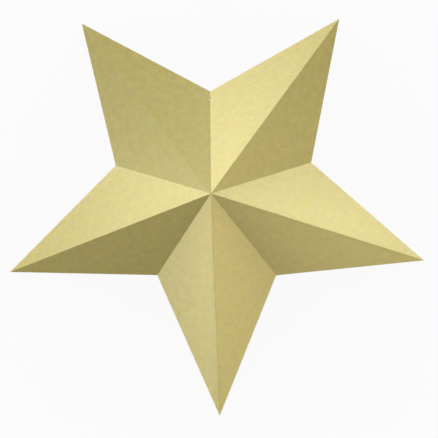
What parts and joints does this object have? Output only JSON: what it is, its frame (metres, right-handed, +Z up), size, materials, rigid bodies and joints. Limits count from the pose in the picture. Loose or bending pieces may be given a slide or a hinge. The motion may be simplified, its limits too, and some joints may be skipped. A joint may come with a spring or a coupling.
{
  "type": "origami star",
  "caption": "Hollow star folded from one sheet of satin gold card, with a ridge to each tip and a valley to each notch; a decoration that rests on its rim or hangs by a thread.",
  "frame": {"origin": "middle of the underside of the star's box, on the plane that the rim rests on", "axes": "+Z up through the raised centre, +Y towards the notch with the thread hole, +X to the right, seen from above"},
  "size_m": [0.2666, 0.255, 0.0502],
  "materials": {
    "gold_card": "pale gold pearl card, satin"
  },
  "bodies": {
    "root": {"star_sheet": "gold_card"}
  },
  "joints": []
}
